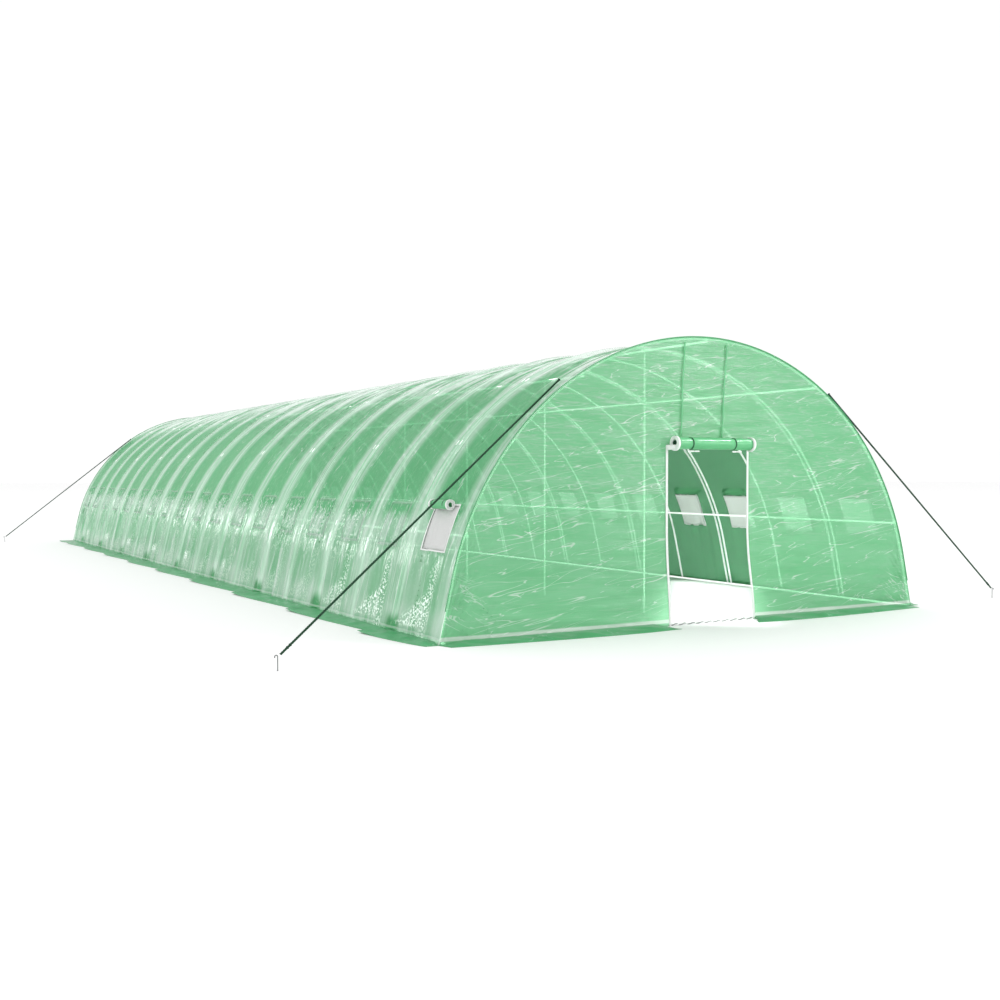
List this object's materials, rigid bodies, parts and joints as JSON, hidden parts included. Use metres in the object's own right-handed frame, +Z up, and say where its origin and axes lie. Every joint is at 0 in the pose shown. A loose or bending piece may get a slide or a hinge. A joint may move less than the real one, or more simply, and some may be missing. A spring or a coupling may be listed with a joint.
{
  "type": "polytunnel greenhouse",
  "caption": "Long arched tunnel greenhouse: white tube hoops under green film, with a roll-up end door, net side windows, ground flaps and corner guy ropes.",
  "frame": {"origin": "middle of the tunnel at ground level", "axes": "+Y from the open door end to the far end, +Z up, +X to the right of someone going in"},
  "size_m": [9.33, 19.039, 2.85],
  "materials": {
    "cover_film": "translucent green reinforced film, wrinkled, with glints",
    "frame_tube": "white coated steel tube, satin",
    "window_net": "fine white insect net",
    "white_tape": "woven white zip tape",
    "dark_strap": "dark green webbing",
    "guy_rope": "dark green braided rope",
    "peg_steel": "bare drawn steel"
  },
  "bodies": {
    "root": {"base_rails": "frame_tube", "centre_posts": "frame_tube", "door_roll": "cover_film", "door_roll_ties": "dark_strap", "door_threshold": "white_tape", "end_flaps": "cover_film", "front_door_head": "cover_film", "front_door_zips": "white_tape", "front_left_panel": "cover_film", "front_right_panel": "cover_film", "guy_pegs": "peg_steel", "guy_ropes": "guy_rope", "left_haunch_tubes": "frame_tube", "left_legs": "frame_tube", "left_lower_wall": "cover_film", "left_roof_strip_1": "cover_film", "left_roof_strip_2": "cover_film", "left_roof_strip_3": "cover_film", "left_roof_strip_4": "cover_film", "left_roof_tubes": "frame_tube", "left_window_flaps": "cover_film", "left_window_nets": "window_net", "left_window_rolls": "cover_film", "left_window_wall": "cover_film", "rear_door_head": "cover_film", "rear_door_leaf": "cover_film", "rear_door_zips": "white_tape", "rear_left_panel": "cover_film", "rear_right_panel": "cover_film", "ridge_purlin": "frame_tube", "right_haunch_tubes": "frame_tube", "right_legs": "frame_tube", "right_lower_wall": "cover_film", "right_roof_strip_1": "cover_film", "right_roof_strip_2": "cover_film", "right_roof_strip_3": "cover_film", "right_roof_strip_4": "cover_film", "right_roof_tubes": "frame_tube", "right_window_nets": "window_net", "right_window_rolls": "cover_film", "right_window_wall": "cover_film", "roof_purlins": "frame_tube", "side_flaps": "cover_film", "wall_purlins": "frame_tube"}
  },
  "joints": []
}
